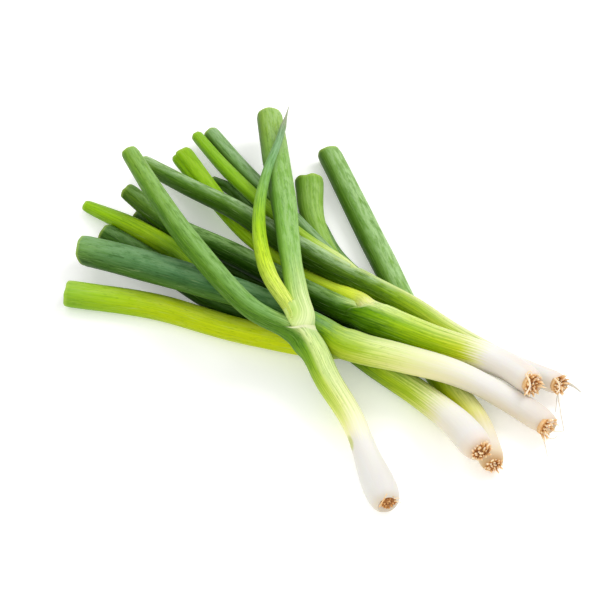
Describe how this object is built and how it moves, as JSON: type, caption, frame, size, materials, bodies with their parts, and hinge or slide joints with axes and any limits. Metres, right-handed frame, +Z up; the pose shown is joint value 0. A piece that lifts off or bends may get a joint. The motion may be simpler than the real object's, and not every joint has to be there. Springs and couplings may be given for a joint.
{
  "type": "spring onion bunch",
  "caption": "Loose bunch of trimmed spring onions lying crossed on a surface, with white bulbs and short roots at one end and hollow green leaves fanned out at the other.",
  "frame": {"origin": "middle of the bunch's bounding box, on the surface it lies on", "axes": "+Z up, +X towards the bulbs, +Y towards the tips of the longest crossing leaves; the view that shows the bunch best looks along +Y and down"},
  "size_m": [0.2454, 0.2468, 0.0426],
  "materials": {
    "stem": "smooth waxy white sheath, pale green towards the leaves",
    "leaf_bright": "soft waxy sheen, fine lengthwise veins, bright yellow green",
    "leaf_mid": "soft waxy bloom, fine lengthwise veins, mid green",
    "leaf_blue": "waxy bloom, fine lengthwise veins, bluish green",
    "leaf_dark": "soft waxy sheen, fine lengthwise veins, dark green",
    "roots": "dry, fibrous, tan"
  },
  "bodies": {
    "root": {"front_stem": "stem", "front_leaf_left": "leaf_mid", "front_leaf_wide": "leaf_mid", "front_leaf_thin": "leaf_bright", "front_roots": "roots", "long_stem": "stem", "long_leaf_low": "leaf_bright", "long_leaf_blue": "leaf_blue", "long_roots": "roots", "middle_stem": "stem", "middle_leaf_dark": "leaf_dark", "middle_leaf_creased": "leaf_bright", "middle_leaf_hidden": "leaf_dark", "middle_roots": "roots", "back_stem": "stem", "back_leaf_dark": "leaf_dark", "back_leaf_narrow": "leaf_bright", "back_leaf_blue": "leaf_blue", "back_leaf_hidden": "leaf_dark", "back_roots": "roots", "low_stem": "stem", "low_leaf_dark": "leaf_dark", "low_leaf_light": "leaf_bright", "low_roots": "roots", "under_stem": "stem", "under_leaf_straight": "leaf_mid", "under_leaf_flared": "leaf_bright", "under_leaf_small": "leaf_dark", "under_roots": "roots"}
  },
  "joints": []
}
